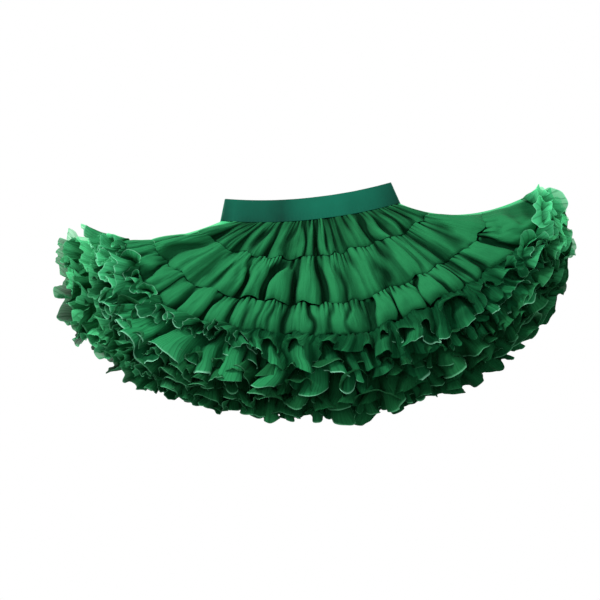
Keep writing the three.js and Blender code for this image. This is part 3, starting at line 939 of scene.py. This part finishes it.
def chiffon(name, ridge, valley, backlit_colour, edge_highlight_colour, edge_start, pleat_spacing, pleat_depth,
            pleat_shade, streak_width, streak_shade):
    """Thin cloth with painted shade deep in its folds, a painted highlight along a free edge, and fine pleats
    where their depth and shade aren't 0. Where it is sheer, it is partly see-through, with a painted glow from
    behind."""
    material, tree, shader = new_material(name)
    links = tree.links
    shader.inputs["Roughness"].default_value = 0.6
    shader.inputs["Sheen Weight"].default_value = 0.01
    shader.inputs["Sheen Roughness"].default_value = 0.5
    shader.inputs["Specular IOR Level"].default_value = 0.02
    # The streaks also darken the colour along small folds: painted shade
    streaks = use_group(tree, SOFT_STREAKS, {"Width": streak_width, "Length": 0.06})["Streaks"]
    tone = use_group(tree, CLOTH_TONE, {
        "Ridge": (*ridge, 1),
        "Painted Shade": (*valley, 1),
        "Patches": 0.6,
        "Streaks": calculate(tree, "MULTIPLY", streaks, streak_shade),
    })
    pleats = use_group(tree, FINE_PLEATS, {"Spacing": pleat_spacing, "Waver": 2.0})
    weave = use_group(tree, PLAIN_WEAVE, {"Thread": 0.0008})
    edge = add_node(tree, "Attribute", attribute_name="edge").outputs["Fac"]
    thin = add_node(tree, "Attribute", attribute_name="sheer").outputs["Fac"]

    def rising(value, low, high, most=1.0):
        return add_node(tree, "MapRange", {
            "Value": value, "From Min": low, "From Max": high, "To Max": most,
        }).outputs["Result"]

    # Where the cloth is sheer, its colour turns towards a bright painted tint, for light that comes through it
    backlit_tint = rising(thin, 0.25, 0.55, 0.7)
    lit = add_node(tree, "Mix", {"Factor": backlit_tint, "B": (*backlit_colour, 1)}, data_type="RGBA")
    links.new(tone["Colour"], lit.inputs["A"])
    # Painted shade along the fine pleats' lines
    shade = calculate(tree, "MULTIPLY", pleats["Lines"], pleat_shade)
    pleated = add_node(tree, "Mix", {"Factor": shade, "B": (*valley, 1)}, data_type="RGBA")
    links.new(lit.outputs["Result"], pleated.inputs["A"])
    # A painted highlight along a free edge
    rim = rising(edge, edge_start, 1.0)
    trimmed = add_node(tree, "Mix", {"Factor": rim, "B": (*edge_highlight_colour, 1)}, data_type="RGBA")
    links.new(pleated.outputs["Result"], trimmed.inputs["A"])
    links.new(trimmed.outputs["Result"], shader.inputs["Base Color"])

    # A painted glow: emission where the cloth is sheer, standing in for light from behind it
    painted_glow = rising(thin, 0.30, 0.62)
    through = add_node(tree, "Mix", {"Factor": painted_glow, "A": (0, 0, 0, 1)}, data_type="RGBA")
    links.new(pleated.outputs["Result"], through.inputs["B"])
    links.new(through.outputs["Result"], shader.inputs["Emission Color"])
    shader.inputs["Emission Strength"].default_value = 0.90

    folded = calculate(tree, "MULTIPLY", pleats["Lines"], 0.6)
    closed = calculate(tree, "ADD", folded, calculate(tree, "MULTIPLY", rim, 0.8))
    clear = calculate(tree, "SUBTRACT", 1.0, closed, clamp=True)
    see_through = calculate(tree, "MULTIPLY", rising(thin, 0.24, MOST_SHEER, 0.42), clear)
    links.new(calculate(tree, "SUBTRACT", 1.0, see_through), shader.inputs["Alpha"])

    relief = calculate(tree, "MULTIPLY", pleats["Height"], pleat_depth)
    relief = calculate(tree, "ADD", relief, calculate(tree, "MULTIPLY", weave["Height"], 0.00006))
    relief = calculate(tree, "ADD", relief, calculate(tree, "MULTIPLY", streaks, streak_width / 2))
    bump = add_node(tree, "Bump", {"Height": relief, "Strength": 0.6, "Distance": 1.0})
    links.new(bump.outputs["Normal"], shader.inputs["Normal"])
    return material


def elastic():
    """Satin woven elastic, with fine ribs across its width and painted shade in places."""
    material, tree, shader = new_material("woven_elastic")
    shader.inputs["Roughness"].default_value = 0.42
    shader.inputs["Specular IOR Level"].default_value = 0.07
    tone = use_group(tree, CLOTH_TONE, {
        "Ridge": (0.004, 0.118, 0.070, 1),
        "Painted Shade": (0.0010, 0.028, 0.018, 1),
        "Patches": 0.45,
    })
    tree.links.new(tone["Colour"], shader.inputs["Base Color"])
    ribs = use_group(tree, FINE_PLEATS, {"Spacing": 0.0016, "Waver": 0.05})
    weave = use_group(tree, PLAIN_WEAVE, {"Thread": 0.0007})
    relief = calculate(tree, "MULTIPLY", ribs["Height"], 0.00003)
    relief = calculate(tree, "ADD", relief, calculate(tree, "MULTIPLY", weave["Height"], 0.00003))
    bump = add_node(tree, "Bump", {"Height": relief, "Strength": 0.6, "Distance": 1.0})
    tree.links.new(bump.outputs["Normal"], shader.inputs["Normal"])
    return material


# In each cloth, ridge is the lit colour and valley the painted shade; the backlit colour is a painted tint for
# light through sheer cloth, and the edge colour a painted highlight
tier_cloth = chiffon(
    "tier_chiffon",
    ridge=(0.016, 0.184, 0.064),
    valley=(0.0008, 0.022, 0.007),
    backlit_colour=(0.06, 0.50, 0.20),
    edge_highlight_colour=(0.05, 0.30, 0.15),
    edge_start=0.9,
    pleat_spacing=0.0065,
    pleat_depth=0.0,
    pleat_shade=0.0,
    streak_width=0.010,
    streak_shade=0.4,
)
outer_cloth = chiffon(
    "outer_frill_chiffon",
    ridge=(0.018, 0.215, 0.074),
    valley=(0.0015, 0.044, 0.014),
    backlit_colour=(0.09, 0.62, 0.27),
    edge_highlight_colour=(0.22, 0.60, 0.38),
    edge_start=0.96,
    pleat_spacing=0.0045,
    pleat_depth=0.00016,
    pleat_shade=0.40,
    streak_width=0.005,
    streak_shade=0.9,
)
# A darker copy of the frill cloth for the lower frills and petticoats, which lie in the outer frill's shade:
# its darker colours are painted shade
shaded_lower_cloth = chiffon(
    "lower_frill_shaded_tulle",
    ridge=(0.012, 0.128, 0.041),
    valley=(0.0032, 0.050, 0.0155),
    backlit_colour=(0.08, 0.56, 0.23),
    edge_highlight_colour=(0.10, 0.37, 0.19),
    edge_start=0.96,
    pleat_spacing=0.0040,
    pleat_depth=0.00012,
    pleat_shade=0.45,
    streak_width=0.004,
    streak_shade=0.9,
)
elastic_cloth = elastic()

pieces = {
    "waistband": waistband_piece(elastic_cloth),
    "yoke_tier": tier_piece("yoke_tier", tier_cloth),
    "second_tier": tier_piece("second_tier", tier_cloth),
    "third_tier": tier_piece("third_tier", tier_cloth),
    "outer_frill": frill_piece("outer_frill", outer_cloth),
    "middle_petticoat": petticoat_piece("middle_petticoat", MIDDLE, MIDDLE_SEAM, shaded_lower_cloth),
    "middle_frill": frill_piece("middle_frill", shaded_lower_cloth),
    "inner_petticoat": petticoat_piece("inner_petticoat", INNER, INNER_SEAM, shaded_lower_cloth),
    "inner_frill": frill_piece("inner_frill", shaded_lower_cloth),
}

for node, piece in pieces.items():
    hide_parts(node)
    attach(piece, "root")

# Stage: a plain white surface that the camera alone sees
bpy.ops.mesh.primitive_plane_add(size=8, location=(0, 0, -0.0005))
floor = bpy.context.object
floor.name = "floor"
white, _, shader = new_material("white_surface")
shader.inputs["Base Color"].default_value = (0, 0, 0, 1)
shader.inputs["Specular IOR Level"].default_value = 0
shader.inputs["Emission Color"].default_value = (1, 1, 1, 1)
shader.inputs["Emission Strength"].default_value = 1.0
floor.data.materials.append(white)
floor.visible_diffuse = False
floor.visible_glossy = False
floor.visible_shadow = False

# Light: a soft key from the upper left, a weak fill and an even white sky
world = bpy.data.worlds.new("sky")
bpy.context.scene.world = world
world.use_nodes = True
world.node_tree.nodes["Background"].inputs["Color"].default_value = (1, 1, 1, 1)
world.node_tree.nodes["Background"].inputs["Strength"].default_value = 0.70


def area_light(name, place, target, size, power):
    light = bpy.data.lights.new(name, "AREA")
    light.shape = "DISK"
    light.size = size
    light.energy = power
    lamp = bpy.data.objects.new(name, light)
    lamp.location = place
    aim = Vector(target) - Vector(place)
    lamp.rotation_euler = aim.to_track_quat("-Z", "Y").to_euler()
    bpy.context.scene.collection.objects.link(lamp)


SKIRT_MIDDLE = (0.0, -0.12, 0.03)
area_light("key", (-1.25, 0.75, 1.05), SKIRT_MIDDLE, 0.5, 32)
area_light("fill", (0.8, 0.2, 1.6), SKIRT_MIDDLE, 1.2, 5)

# Camera: from the hem's side, 72 degrees above the surface
CAMERA_ELEVATION = 72
CAMERA_DISTANCE = 2.117
CAMERA_TARGET = Vector((-0.0102, -0.1215, 0.0))
camera_data = bpy.data.cameras.new("camera")
camera_data.lens = 100
camera_data.sensor_width = 36
camera = bpy.data.objects.new("camera", camera_data)
away = Vector((0, -math.cos(math.radians(CAMERA_ELEVATION)), math.sin(math.radians(CAMERA_ELEVATION))))
camera.location = CAMERA_TARGET + CAMERA_DISTANCE * away
camera.rotation_euler = (-away).to_track_quat("-Z", "Y").to_euler()
bpy.context.scene.collection.objects.link(camera)
bpy.context.scene.camera = camera
bpy.context.scene.view_settings.view_transform = "Standard"
